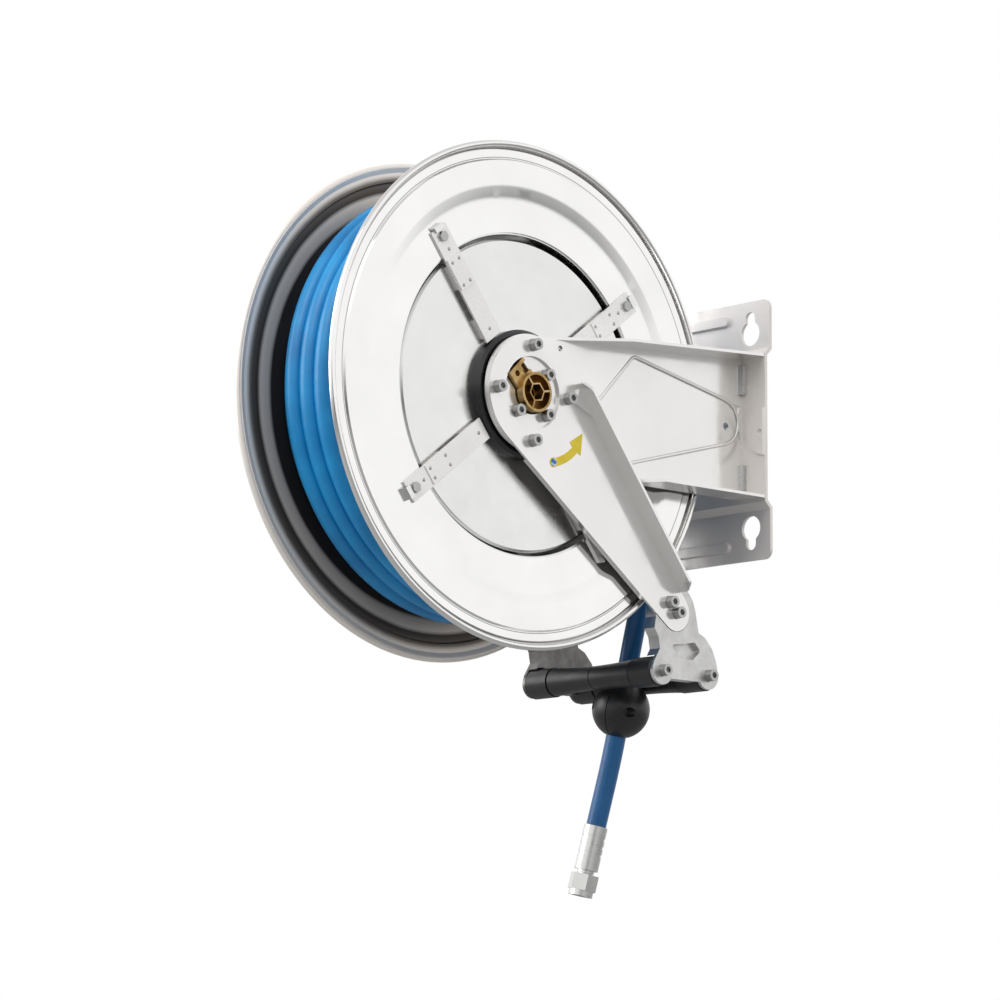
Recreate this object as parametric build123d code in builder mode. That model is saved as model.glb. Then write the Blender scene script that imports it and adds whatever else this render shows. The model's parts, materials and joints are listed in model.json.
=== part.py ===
"""Stainless steel spring-rewind hose reel for a wall.

Frame: millimetres, +Z up, +X along the axle towards the swivel side, +Y into the wall.
The origin is the centre of the wall plate, on the plane that lies against the wall.
"""
from build123d import *
from math import acos, atan2, cos, degrees, hypot, pi, radians, sin, tan
import os

os.makedirs("parts", exist_ok=True)

# ---------------------------------------------------------------- driving sizes
HUB_Y = -264.0            # axle, in front of the wall
DISC_R = 215.0            # reel disc
DRUM_X = 22.5             # middle of the hose drum along the axle
SHEET = 2.5               # bracket and arm sheet
ARM_IN = 87.0             # inner face of the near bracket web
FAR_INSET = 22.0          # how much nearer the middle the far side's sheets stand
HOSE_R = 8.75             # hose with a 3/8 inch bore
CLEAR = 0.05              # radial clearance of a thread, a pin or a running fit

BRACKET_OUT = ARM_IN + SHEET          # outer face of a bracket web
GUIDE_OUT = BRACKET_OUT + SHEET       # outer face of a guide arm
HUB_AXIS = Axis((0, HUB_Y, 0), (1, 0, 0))

# wall plate
PLATE_HALF_W = 117.0
PLATE_HALF_H = 115.0
PLATE_T = 3.0
PLATE_RISE = 6.0          # the middle of the plate stands off the wall
KEYHOLE_X = 94.0
KEYHOLE_Z = 100.0         # centre of the narrow end
KEYHOLE_WIDE_Z = 86.5
KEYHOLE_SLOT_R = 5.7
KEYHOLE_WIDE_R = 11.0

# hub
HEAD_R = 49.0             # round head of a guide arm
HEAD_OPENING_R = 31.0
OUTER_SCREW_R = 40.5
INNER_SCREW_OFFSET = 17.0
SCREW_R = 3.0
SCREW_HEAD_R = 5.0
SCREW_HEAD_H = 6.0
WASHER_H = 1.2

# guide arm and roller box
GUIDE_ANGLE = -44.8
GUIDE_LENGTH = 239.0
GUIDE_END_R = 16.5
ARM_SCREWS = (228.0, 240.0)           # along the arm, from the hub
ROLLER_Y = (154.0, 210.0)             # roller axes, from the hub axis
ROLLER_Z = -219.8
ROLLER_END_X = 88.0        # end of a roller, on the near side
ROLLER_END_R = 13.0
ROLLER_MID_R = 10.3
ROLLER_AXLE_R = 5.0
CAST_IN = 79.0            # inner face of a casting's body
CAST_LUG = 88.6           # inner face of its lugs, where the rollers end
CAST_OUT = 91.5           # outer face

# drum, measured from its middle plane
DISC_T = 1.2
DISC_INNER_R = 138.5
CORE_R = DISC_INNER_R - DISC_T
DISC_FLAT = 56.2          # outer face of the disc near its inner edge
DISC_STEP = 59.6          # outer face near the rim
BEAD_R = 2.8
COVER_R = 132.5
COVER_OUT = 52.8
COVER_T = 1.5
STRAP_W = 19.5
STRAP_END_R = 160.0
STRAP_ANGLES = (37.5, 127.5, 217.5, 307.5)
STRAP_BOLT_R = 152.0
CLIP_W = 11.0
COLLAR_R = 54.5

# spring housing on the far side, and its ratchet
CASE_R = 128.0
CASE_END_X = -57.5
SPRING_X = -52.5
SPRING_W = 16.0
RATCHET_R = 62.0
RATCHET_TEETH = 12
PANEL_IN = ARM_IN - 1.0               # inner face of a bracket's pressed panel
PAWL_PIVOT = (104.0, 18.0)            # from the hub axis

# hose
LANES = 6
LANE_PITCH = 18.2
FIRST_LANE_X = -23.3
FIRST_LAYER_R = DISC_INNER_R + HOSE_R
LAYER_STEP = 15.15        # each layer beds a little into the one below
SECOND_LAYER_R = FIRST_LAYER_R + LAYER_STEP
THIRD_LAYER_R = SECOND_LAYER_R + LAYER_STEP
THIRD_LAYER_LANES = (1, 3)   # first and last lane the third layer fills
LAST_LANE_X = FIRST_LANE_X + (LANES - 1) * LANE_PITCH

# free hose, hand-laid points from the hub axis: along the axle, towards the wall, up
HOSE_ROUTE = (
    (67.7, 164.7, 13.5),
    (67.6, 168.3, -30.0),
    (63.5, 171.9, -75.0),
    (53.0, 175.4, -118.0),
    (38.0, 178.9, -160.0),
    (23.0, 182.3, -201.0),
    (11.0, 184.0, -245.0),
    (2.5, 180.5, -290.0),
    (-5.2, 173.0, -336.0),
    (-12.0, 166.3, -378.0),
)
BALL_POINT = 6
BALL_R = 25.2
BALL_BORE_R = 10.2
FERRULE_R = 10.4
FERRULE_BACK = 32.5       # how far the ferrule reaches back over the hose
FERRULE_FLOOR = 6.0

X_DIR = (1, 0, 0)


# ---------------------------------------------------------------- helpers
def at_side(side, distance):
    """Place along the axle of a near-side distance (side 1) or its far-side twin (-1)."""
    return distance if side > 0 else FAR_INSET - distance


def side_plane(x):
    """Plane across the axle: sketch x is towards the wall, sketch y is up."""
    return Plane(origin=(x, HUB_Y, 0), x_dir=(0, 1, 0), z_dir=X_DIR)


def axle_plane():
    """Plane through the axle: sketch x is along the axle, sketch y is the radius."""
    return Plane(origin=(0, HUB_Y, 0), x_dir=X_DIR, z_dir=(0, -1, 0))


def save(builder, name):
    """Label a finished piece and write it."""
    builder.part.label = name
    export_step(builder.part, f"parts/{name}.step")


def polar(radius, angle):
    """Sketch point at a radius and an angle in degrees."""
    return (radius * cos(radians(angle)), radius * sin(radians(angle)))


def ring(name, x_from, x_to, r_in, r_out):
    """A plain ring round the axle."""
    with BuildPart() as piece:
        with BuildSketch(side_plane(x_from)):
            Circle(r_out)
            Circle(r_in, mode=Mode.SUBTRACT)
        extrude(amount=x_to - x_from)
    save(piece, name)


def guide_point(along, across=0.0):
    """Point on the guide arm: along it from the hub, and across it towards the wall."""
    u = polar(1, GUIDE_ANGLE)
    v = polar(1, GUIDE_ANGLE + 90)
    return (along * u[0] + across * v[0], along * u[1] + across * v[1])


def inner_screw_points():
    """Centres of the three screws round the swivel; its side port takes the fourth corner."""
    d = INNER_SCREW_OFFSET
    return [(d, d), (-d, -d), (d, -d)]


def outer_screw_points():
    """Centres of the four screws that clamp a guide arm to its bracket."""
    return [polar(OUTER_SCREW_R, a) for a in (0, 90, 180, 270)]


def cap_screws(name, seats, length):
    """Socket cap screws with thick washers. A seat is (x, y, z, side), the point
    under the washer, with y from the hub axis."""
    with BuildPart() as screws:
        for x, y, z, side in seats:
            plane = Plane(origin=(x, HUB_Y + y, z), x_dir=(0, 1, 0), z_dir=(side, 0, 0))
            with BuildSketch(plane):
                Circle(SCREW_HEAD_R + 0.4)
            extrude(amount=WASHER_H)
            with BuildSketch(plane.offset(WASHER_H)):
                Circle(SCREW_HEAD_R)
            extrude(amount=SCREW_HEAD_H)
            with BuildSketch(plane):
                Circle(SCREW_R)
            extrude(amount=-length)
            with BuildSketch(plane.offset(WASHER_H + SCREW_HEAD_H)):
                RegularPolygon(2.9, 6)
            extrude(amount=-3.4, mode=Mode.SUBTRACT)
    save(screws, name)


# ---------------------------------------------------------------- wall plate
def wall_plate():
    """Plate with four keyholes, a raised middle, two ribs and two half dishes."""
    step = PLATE_RISE
    z_front = 65.5
    z_back = 64.0
    half = [
        (0, -PLATE_HALF_H),
        (-PLATE_T, -PLATE_HALF_H),
        (-PLATE_T, -z_front - step),
        (-PLATE_T - step, -z_front),
        (-PLATE_T - step, z_front),
        (-PLATE_T, z_front + step),
        (-PLATE_T, PLATE_HALF_H),
        (0, PLATE_HALF_H),
        (0, z_back + step),
        (-step, z_back),
        (-step, -z_back),
        (0, -z_back - step),
    ]
    with BuildPart() as plate:
        with BuildSketch(Plane.YZ.offset(-PLATE_HALF_W)):
            with BuildLine():
                Polyline(*half, close=True)
            make_face()
        extrude(amount=2 * PLATE_HALF_W)
        corners = plate.edges().filter_by(Axis.Y).filter_by(
            lambda e: abs(abs(e.center().Z) - PLATE_HALF_H) < 1)
        fillet(corners, radius=8)
        front = Plane(origin=(0, -PLATE_T, 0), x_dir=X_DIR, z_dir=(0, -1, 0))
        wall = Plane(origin=(0, 0, 0), x_dir=X_DIR, z_dir=(0, -1, 0))
        for up in (1, -1):
            with BuildSketch(wall):
                for across in (1, -1):
                    with Locations((across * KEYHOLE_X, up * KEYHOLE_WIDE_Z)):
                        Circle(KEYHOLE_WIDE_R)
                    with Locations((across * KEYHOLE_X, up * (KEYHOLE_Z + KEYHOLE_WIDE_Z) / 2)):
                        Rectangle(2 * KEYHOLE_SLOT_R, KEYHOLE_Z - KEYHOLE_WIDE_Z)
                    with Locations((across * KEYHOLE_X, up * KEYHOLE_Z)):
                        Circle(KEYHOLE_SLOT_R)
            extrude(amount=PLATE_T, mode=Mode.SUBTRACT)
            with BuildSketch(front):
                with Locations((0, up * 101)):
                    SlotOverall(140, 10)
            extrude(amount=3.2, taper=18)
            with BuildSketch(wall):
                with Locations((0, up * 101)):
                    SlotOverall(135, 5)
            extrude(amount=3.6, mode=Mode.SUBTRACT)
        middle = front.offset(step)
        for across in (1, -1):
            with BuildSketch(middle):
                with Locations((across * PLATE_HALF_W, -4)):
                    Circle(21.5)
                with Locations((across * (PLATE_HALF_W + 20), -4)):
                    Rectangle(40, 60, mode=Mode.SUBTRACT)
            extrude(amount=2.2, taper=25)
            with BuildSketch(middle.offset(3)):
                with Locations((across * (PLATE_HALF_W - 5), -4)):
                    Circle(2.5)
            extrude(amount=-(step + PLATE_T + 3), mode=Mode.SUBTRACT)
    save(plate, "wall_plate")


# ---------------------------------------------------------------- brackets
BRACKET_WALL_Y = -HUB_Y - PLATE_T - PLATE_RISE
TOP_START = (28.0, 51.8)
TOP_END = (BRACKET_WALL_Y, 65.0)
BOTTOM_Z = -62.5
FLANGE_W = 27.0


def bracket(side, name):
    """Side plate from the wall plate to the hub, with a flange above and below."""
    face = side_plane(at_side(side, BRACKET_OUT))
    with BuildPart() as piece:
        with BuildSketch(face):
            with BuildLine():
                Polyline((8, 49.4), TOP_START, TOP_END, (BRACKET_WALL_Y, BOTTOM_Z),
                         (78, BOTTOM_Z), (22, -44.5), (0, 0), close=True)
            make_face()
            Circle(HEAD_R + 1)
            if side > 0:
                Circle(18, mode=Mode.SUBTRACT)
                with Locations(Location(polar(15.5, 135) + (0,), 135)):
                    Rectangle(31, 24, mode=Mode.SUBTRACT)
            else:
                Circle(12.5, mode=Mode.SUBTRACT)
            with Locations(*outer_screw_points(), *inner_screw_points()):
                Circle(SCREW_R + CLEAR, mode=Mode.SUBTRACT)
            with Locations((235.5, 1.5)):
                Circle(3.3, mode=Mode.SUBTRACT)
            with Locations((34, 42.5)):
                Circle(2.6, mode=Mode.SUBTRACT)
        extrude(amount=-side * SHEET)
        extrude(bracket_panel(face, 0), amount=-side, mode=Mode.SUBTRACT)
        extrude(bracket_panel(face.offset(-side * SHEET), 2), amount=-side)
        with Locations(Location((at_side(side, ARM_IN), HUB_Y + 235.5, 1.5), (0, 90, 0))):
            Cylinder(3.3, 8, mode=Mode.SUBTRACT)
        slope = atan2(TOP_END[1] - TOP_START[1], TOP_END[0] - TOP_START[0])
        run = hypot(TOP_END[1] - TOP_START[1], TOP_END[0] - TOP_START[0]) - 0.2
        top = Plane(origin=(at_side(side, BRACKET_OUT), HUB_Y + TOP_START[0], TOP_START[1]),
                    x_dir=(0, cos(slope), sin(slope)), z_dir=(0, sin(slope), -cos(slope)))
        with BuildSketch(top):
            with BuildLine():
                Polyline((0, -side * SHEET), (0, 0), (12, side * 3), (66, side * FLANGE_W),
                         (run, side * FLANGE_W), (run, -side * SHEET), close=True)
            make_face()
        extrude(amount=SHEET)
        with BuildSketch(Plane.XY.offset(BOTTOM_Z)):
            with BuildLine():
                Polyline((at_side(side, ARM_IN), HUB_Y + 114), (at_side(side, BRACKET_OUT), HUB_Y + 114),
                         (at_side(side, BRACKET_OUT + FLANGE_W), HUB_Y + 134),
                         (at_side(side, BRACKET_OUT + FLANGE_W), HUB_Y + BRACKET_WALL_Y),
                         (at_side(side, ARM_IN), HUB_Y + BRACKET_WALL_Y), close=True)
            make_face()
        extrude(amount=SHEET)
    save(piece, name)


def bracket_panel(plane, shrink):
    """Outline of the pressed panel of a bracket web: a triangle with rounded corners."""
    with BuildSketch(plane, mode=Mode.PRIVATE) as panel:
        with BuildLine():
            Polyline((121, 47.5), (300, 10.5), (300, 4), (85, -53), (66, -9.6), close=True)
        make_face()
        fillet(vertices().sort_by(Axis.X)[-2:], radius=3)
        with Locations((317.7, 7.3)):
            Circle(67.2, mode=Mode.SUBTRACT)
        fillet(vertices().sort_by(Axis.X)[:2], radius=8)
        fillet(vertices().sort_by(Axis.Y)[-1], radius=8)
        if shrink:
            offset(amount=-shrink, mode=Mode.REPLACE)
    return panel.sketch


def weld_beads():
    """Fillet welds between the bracket webs and the wall plate."""
    with BuildPart() as beads:
        for side in (1, -1):
            for low, high in ((31, 57), (-54, -32)):
                plane = Plane.XY.offset(low)
                with BuildSketch(plane):
                    corner = (at_side(side, BRACKET_OUT), HUB_Y + BRACKET_WALL_Y)
                    with BuildLine():
                        Polyline(corner, (corner[0] + side * 5, corner[1]),
                                 (corner[0] + side * 4, corner[1] - 3),
                                 (corner[0], corner[1] - 5), close=True)
                    make_face()
                extrude(amount=high - low)
    save(beads, "weld_beads")


# ---------------------------------------------------------------- guide arms
def guide_tangent(upper):
    """Angle of the outward normal of a guide arm's long edge."""
    spread = degrees(acos((HEAD_R - GUIDE_END_R) / GUIDE_LENGTH))
    return GUIDE_ANGLE + (spread if upper else -spread)


def guide_outline(gap, mode):
    """Outline of a guide arm, grown by a gap: two circles and their outer tangents."""
    upper = guide_tangent(True)
    lower = guide_tangent(False)
    end = guide_point(GUIDE_LENGTH)
    wide = HEAD_R + gap
    narrow = GUIDE_END_R + gap
    corners = [polar(wide, upper)]
    for angle in (upper, lower):
        step = polar(narrow, angle)
        corners.append((end[0] + step[0], end[1] + step[1]))
    corners.append(polar(wide, lower))
    Circle(wide, mode=mode)
    Polygon(*corners, align=None, mode=mode)
    with Locations(end):
        Circle(narrow, mode=mode)


def guide_arm(side, name):
    """Tapered arm from the hub to the roller box, with a tall and a short flange."""
    with BuildPart() as arm:
        with BuildSketch(side_plane(at_side(side, BRACKET_OUT))):
            guide_outline(0, Mode.ADD)
            Circle(HEAD_OPENING_R, mode=Mode.SUBTRACT)
            with Locations(*outer_screw_points(), *[guide_point(s) for s in ARM_SCREWS]):
                Circle(SCREW_R + CLEAR, mode=Mode.SUBTRACT)
        extrude(amount=side * SHEET)
        tall = guide_edge_plane(side, True)
        with BuildSketch(tall):
            with BuildLine():
                Polyline((19, 0), (19, side * 12), (27, side * 19.5), (219, side * 19.5),
                         (226, side * 12), (226, 0), close=True)
            make_face()
            fillet(vertices().group_by(Axis.Y)[-1 if side > 0 else 0], radius=6)
        extrude(amount=SHEET)
        low = guide_edge_plane(side, False)
        with BuildSketch(low):
            with Locations((116, -side * 0.25)):
                Rectangle(172, 5.5)
        extrude(amount=-SHEET)
        with BuildSketch(side_plane(at_side(side, GUIDE_OUT))):
            with BuildLine():
                Polyline(guide_point(29, 44.5), guide_point(36, 31), guide_point(60, 40.3), close=True)
            make_face()
        extrude(amount=side * 3)
    save(arm, name)


def guide_edge_plane(side, upper):
    """Plane in a long edge of a guide arm: x down the edge, y outwards along the axle."""
    angle = guide_tangent(upper)
    normal = polar(1, angle)
    start = polar(HEAD_R, angle)
    turn = -90 if upper else 90
    along = polar(1, angle + turn)
    x = at_side(side, BRACKET_OUT)
    flip = -1 if upper else 1
    z_dir = (0, flip * normal[0], flip * normal[1])
    return Plane(origin=(x, HUB_Y + start[0], start[1]), x_dir=(0,) + along, z_dir=z_dir)


def direction_label():
    """Bent arrow stuck on the guide arm, with a round tail."""
    with BuildPart() as label:
        with BuildSketch(side_plane(GUIDE_OUT)):
            with BuildLine():
                outer = RadiusArc((23.5, -52.5), (46, -40.5), -45)
                Polyline(outer @ 1, (43, -36.5), (57.5, -27.5), (55.5, -46.5), (51.5, -44.5))
                inner = RadiusArc((51.5, -44.5), (25, -59.5), 52)
                Line(inner @ 1, outer @ 0)
            make_face()
            with Locations((24.2, -56)):
                Circle(4.2)
        extrude(amount=0.4)
    save(label, "direction_label")


# ---------------------------------------------------------------- roller box
def roller_casting(side, name):
    """Cast end plate that carries the rollers on the end of a guide arm."""
    inner = side_plane(at_side(side, CAST_IN))
    outer = side_plane(at_side(side, CAST_OUT))
    rollers = [(y, ROLLER_Z) for y in ROLLER_Y]
    with BuildPart() as casting:
        with BuildSketch(inner):
            with BuildLine():
                Polyline((149, -160), (144.3, -184), (149.2, -191), (151, -201), (143.5, -213),
                         (154, -226), (210, -226), (221, -213), (218.5, -205), (214.5, -196.5),
                         (206, -187.5), (198, -184), (193.4, -163), (172, -146), close=True)
            make_face()
            with Locations(guide_point(GUIDE_LENGTH)):
                Circle(24)
            with Locations(*rollers):
                Circle(12)
            with Locations(*rollers, *[guide_point(s) for s in ARM_SCREWS]):
                Circle(SCREW_R + CLEAR, mode=Mode.SUBTRACT)
        extrude(amount=side * (CAST_OUT - CAST_IN))
        with BuildSketch(inner):
            with Locations(*rollers):
                Circle(ROLLER_END_R + 1.5)
        extrude(amount=side * (CAST_LUG - CAST_IN), mode=Mode.SUBTRACT)
        with BuildSketch(outer):
            with BuildLine():
                Polyline((163, -197), (174, -207.5), (191, -208), (200, -199.5), (193, -192.5),
                         (180, -195), close=True)
            make_face()
            fillet(vertices(), radius=2.5)
        extrude(amount=-side * 5, mode=Mode.SUBTRACT)
        with BuildSketch(outer):
            guide_outline(0.6, Mode.ADD)
        extrude(amount=-side * (CAST_OUT - BRACKET_OUT), mode=Mode.SUBTRACT)
    save(casting, name)


def roller(name, y):
    """Hourglass roller with a wide sleeve at each end and shallow seams."""
    middle = (ROLLER_END_X + at_side(-1, ROLLER_END_X)) / 2
    half = ROLLER_END_X - middle
    sleeve = half - 26
    plane = Plane(origin=(middle, HUB_Y + y, ROLLER_Z), x_dir=X_DIR, z_dir=(0, -1, 0))
    with BuildPart() as piece:
        with BuildSketch(plane):
            with BuildLine():
                Polyline((-half, ROLLER_AXLE_R + CLEAR), (-half, ROLLER_END_R - 1),
                         (-half + 1, ROLLER_END_R), (-sleeve, ROLLER_END_R),
                         (-sleeve, ROLLER_END_R - 1.5), (-sleeve + 1, ROLLER_END_R - 1.5),
                         (-sleeve + 1.5, ROLLER_END_R - 0.6))
                ThreePointArc((-sleeve + 1.5, ROLLER_END_R - 0.6), (0, ROLLER_MID_R),
                              (sleeve - 1.5, ROLLER_END_R - 0.6))
                Polyline((sleeve - 1.5, ROLLER_END_R - 0.6), (sleeve - 1, ROLLER_END_R - 1.5),
                         (sleeve, ROLLER_END_R - 1.5), (sleeve, ROLLER_END_R),
                         (half - 1, ROLLER_END_R), (half, ROLLER_END_R - 1),
                         (half, ROLLER_AXLE_R + CLEAR), (-half, ROLLER_AXLE_R + CLEAR))
            make_face()
            with Locations((0, ROLLER_MID_R)):
                Rectangle(0.8, 1.2, mode=Mode.SUBTRACT)
        revolve(axis=Axis((0, HUB_Y + y, ROLLER_Z), X_DIR))
    save(piece, name)


def roller_axles():
    """Two bars between the castings, tapped at each end."""
    far_end = at_side(-1, CAST_LUG)
    with BuildPart() as axles:
        for y in ROLLER_Y:
            with BuildSketch(side_plane(far_end)):
                with Locations((y, ROLLER_Z)):
                    Circle(ROLLER_AXLE_R)
            extrude(amount=CAST_LUG - far_end)
            for side in (1, -1):
                with BuildSketch(side_plane(at_side(side, CAST_LUG))):
                    with Locations((y, ROLLER_Z)):
                        Circle(SCREW_R + CLEAR)
                extrude(amount=-side * 14, mode=Mode.SUBTRACT)
    save(axles, "roller_axles")


# ---------------------------------------------------------------- hub, near side
def trunnion():
    """Fixed near-side journal: a flange behind the bracket web and a tube for the bearing."""
    with BuildPart() as piece:
        with BuildSketch(side_plane(ARM_IN)):
            Circle(48.5)
        extrude(amount=-2.4)
        with BuildSketch(side_plane(ARM_IN - 2.4)):
            Circle(30)
        extrude(amount=-34)
        with BuildSketch(side_plane(ARM_IN)):
            Circle(18)
        extrude(amount=-36.4, mode=Mode.SUBTRACT)
        with BuildSketch(side_plane(ARM_IN)):
            with Locations(Location(polar(15.5, 135) + (0,), 135)):
                Rectangle(31, 24)
        extrude(amount=-6.4, mode=Mode.SUBTRACT)
        with BuildSketch(side_plane(ARM_IN)):
            with Locations(*outer_screw_points()):
                Circle(SCREW_R + CLEAR)
        extrude(amount=-2.4, mode=Mode.SUBTRACT)
        with BuildSketch(side_plane(ARM_IN)):
            with Locations(*inner_screw_points()):
                Circle(SCREW_R + CLEAR)
        extrude(amount=-16, mode=Mode.SUBTRACT)
    save(piece, "trunnion")


SWIVEL_FRONT = 97.5
SWIVEL_R = 16.8
SPOKE_ANGLES = (10, 130, 250)


def swivel_body():
    """Brass swivel: ring with a hexagonal socket on three webs, and a side port boss."""
    with BuildPart() as body:
        with BuildSketch(side_plane(58)):
            Circle(SWIVEL_R)
        extrude(amount=SWIVEL_FRONT - 58)
        with BuildSketch(side_plane(80.6)):
            with Locations(Location(polar(14.5, 135) + (0,), 135)):
                Rectangle(29, 22)
        extrude(amount=12.9)
        with BuildSketch(side_plane(SWIVEL_FRONT)):
            Circle(14.6)
            RegularPolygon(8.7, 6, rotation=10, mode=Mode.SUBTRACT)
            for angle in SPOKE_ANGLES:
                with Locations(Location(polar(11, angle) + (0,), angle)):
                    Rectangle(9, 1.6, mode=Mode.SUBTRACT)
        extrude(amount=-11, mode=Mode.SUBTRACT)
        with BuildSketch(side_plane(SWIVEL_FRONT)):
            RegularPolygon(7.3, 6, rotation=10)
        extrude(amount=-10, mode=Mode.SUBTRACT)
        with BuildSketch(side_plane(SWIVEL_FRONT)):
            Circle(5.72)
        extrude(amount=-30, mode=Mode.SUBTRACT)
        with BuildSketch(side_plane(58)):
            Circle(10)
        extrude(amount=9.5, mode=Mode.SUBTRACT)
        with BuildSketch(side_plane(93.5)):
            with Locations(Location(polar(22.5, 117) + (0,), 135)):
                Rectangle(9, 9)
        extrude(amount=-7, mode=Mode.SUBTRACT)
        with BuildSketch(side_plane(93.5)):
            with Locations(polar(23.5, 144)):
                Circle(2.6)
        extrude(amount=-4, mode=Mode.SUBTRACT)
    save(body, "swivel_body")


def swivel_seals():
    """Two seal rings in the back of the swivel body."""
    with BuildPart() as seals:
        for x in (59.5, 63.5):
            with BuildSketch(side_plane(x)):
                Circle(10)
                Circle(8 + CLEAR, mode=Mode.SUBTRACT)
            extrude(amount=2.6)
    save(seals, "swivel_seals")


def hub_near():
    """Near hub of the drum: a sleeve round the bearing and a flange behind the cover."""
    with BuildPart() as hub:
        with BuildSketch(axle_plane()):
            with BuildLine():
                Polyline((53, 36), (53, 41), (70.8, 41), (70.8, 52), (73.8, 52), (73.8, 36), close=True)
            make_face()
        revolve(axis=HUB_AXIS)
    save(hub, "hub_near")


def hub_collar():
    """Black plastic ring over the near hub."""
    with BuildPart() as collar:
        with BuildSketch(axle_plane()):
            with BuildLine():
                Polyline((75.3, 36), (75.3, COLLAR_R), (81.5, COLLAR_R), (84, COLLAR_R - 2.5),
                         (84, 50.5), (82.6, 50.5), (82.6, 36), close=True)
            make_face()
        revolve(axis=HUB_AXIS)
    save(collar, "hub_collar")


def fluid_tube():
    """Pipe from the swivel, bent out to the wall of the drum core."""
    start = (67.0, HUB_Y, 0)
    with BuildPart() as tube:
        with BuildLine() as path:
            FilletPolyline(start, (30, HUB_Y, 0), (30, HUB_Y, -CORE_R + 12), radius=20)
        with BuildSketch(Plane(origin=start, z_dir=(-1, 0, 0))):
            Circle(8)
            Circle(6, mode=Mode.SUBTRACT)
        sweep()
        with BuildSketch(Plane(origin=(30, HUB_Y, -CORE_R + 12), z_dir=(0, 0, -1))):
            RegularPolygon(13, 6)
            Circle(5, mode=Mode.SUBTRACT)
        extrude(amount=9.6)
    save(tube, "fluid_tube")


# ---------------------------------------------------------------- drum
def disc(name, side):
    """Pressed reel disc: flat ring, soft step, sharp step and a rolled rim."""
    def at(r, s):
        return (DRUM_X + side * s, r)
    with BuildPart() as piece:
        with BuildSketch(axle_plane()):
            with BuildLine():
                Polyline(at(CORE_R, 51), at(CORE_R, DISC_FLAT), at(162.5, DISC_FLAT))
                Spline(at(162.5, DISC_FLAT), at(171.25, (DISC_FLAT + DISC_STEP) / 2), at(180, DISC_STEP),
                       tangents=((0, 1), (0, 1)))
                Polyline(at(180, DISC_STEP), at(198, DISC_STEP), at(199.5, DISC_STEP - 1.6),
                         at(207, DISC_STEP - 1.2), at(211, DISC_STEP - 2.6),
                         at(211, DISC_STEP - 2.6 - DISC_T), at(207, DISC_STEP - 1.2 - DISC_T),
                         at(199.5, DISC_STEP - 1.6 - DISC_T), at(198, DISC_STEP - DISC_T),
                         at(180, DISC_STEP - DISC_T))
                Spline(at(180, DISC_STEP - DISC_T), at(171.25, (DISC_FLAT + DISC_STEP) / 2 - DISC_T),
                       at(162.5, DISC_FLAT - DISC_T), tangents=((0, -1), (0, -1)))
                Polyline(at(162.5, DISC_FLAT - DISC_T), at(DISC_INNER_R, DISC_FLAT - DISC_T),
                         at(DISC_INNER_R, 51), at(CORE_R, 51))
            make_face()
            with Locations(at(DISC_R - BEAD_R, DISC_STEP - 0.4)):
                Circle(BEAD_R)
        revolve(axis=HUB_AXIS)
        for angle in STRAP_ANGLES:
            with BuildSketch(side_plane(DRUM_X + side * (DISC_FLAT + 1))):
                with Locations(polar(STRAP_BOLT_R, angle)):
                    Circle(2.6)
            extrude(amount=-side * (DISC_T + 2), mode=Mode.SUBTRACT)
    save(piece, name)


def drum_core():
    """Sheet cylinder that the hose winds on, with a hole for the hose tail."""
    with BuildPart() as core:
        with BuildSketch(side_plane(DRUM_X - DISC_FLAT + DISC_T + 0.2)):
            Circle(CORE_R)
            Circle(CORE_R - 1.5, mode=Mode.SUBTRACT)
        extrude(amount=2 * (DISC_FLAT - DISC_T - 0.2))
        with BuildSketch(Plane(origin=(30, HUB_Y, -CORE_R - 2), z_dir=(0, 0, 1))):
            Circle(9)
        extrude(amount=6, mode=Mode.SUBTRACT)
    save(core, "drum_core")


def cover(name, side, hole_r):
    """Flat round cover inside the core, with a rolled edge."""
    out = DRUM_X + side * COVER_OUT
    with BuildPart() as piece:
        with BuildSketch(axle_plane()):
            with BuildLine():
                Polyline((out, hole_r), (out, COVER_R - 2), (out - side * 2, COVER_R),
                         (out - side * 9, COVER_R), (out - side * 9, COVER_R - COVER_T),
                         (out - side * COVER_T, COVER_R - COVER_T), (out - side * COVER_T, hole_r),
                         close=True)
            make_face()
        revolve(axis=HUB_AXIS)
    save(piece, name)


def strap(name, angle):
    """Flat bar from the hub collar over the cover to the disc, on two spacer pads."""
    face = DRUM_X + DISC_FLAT
    with BuildPart() as piece:
        with BuildSketch(side_plane(face)):
            with Locations(Location(polar((STRAP_END_R + COLLAR_R + 1) / 2, angle) + (0,), angle)):
                Rectangle(STRAP_END_R - COLLAR_R - 1, STRAP_W)
        extrude(amount=2)
        with BuildSketch(side_plane(DRUM_X + COVER_OUT)):
            for middle, length in ((68, 18), (117, 22)):
                with Locations(Location(polar(middle, angle) + (0,), angle)):
                    Rectangle(length, STRAP_W - 3)
        extrude(amount=DISC_FLAT - COVER_OUT)
        with BuildSketch(side_plane(face + 2)):
            with Locations(Location(polar(119, angle) + (0,), angle)):
                Rectangle(28, STRAP_W - 2)
        extrude(amount=1)
        with BuildSketch(side_plane(face + 2)):
            with Locations(polar(STRAP_BOLT_R, angle)):
                Circle(2.6)
        extrude(amount=-2, mode=Mode.SUBTRACT)
    save(piece, name)


def strap_bolts():
    """Small bolts that hold each strap end to the disc."""
    face = DRUM_X + DISC_FLAT + 2
    with BuildPart() as bolts:
        for angle in STRAP_ANGLES:
            with BuildSketch(side_plane(face)):
                with Locations(polar(STRAP_BOLT_R, angle)):
                    Circle(2.5)
            extrude(amount=-3.1)
            with BuildSketch(side_plane(face)):
                with Locations(polar(STRAP_BOLT_R, angle)):
                    RegularPolygon(4.6, 6, rotation=angle)
            extrude(amount=2.6)
    save(bolts, "strap_bolts")


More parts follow.
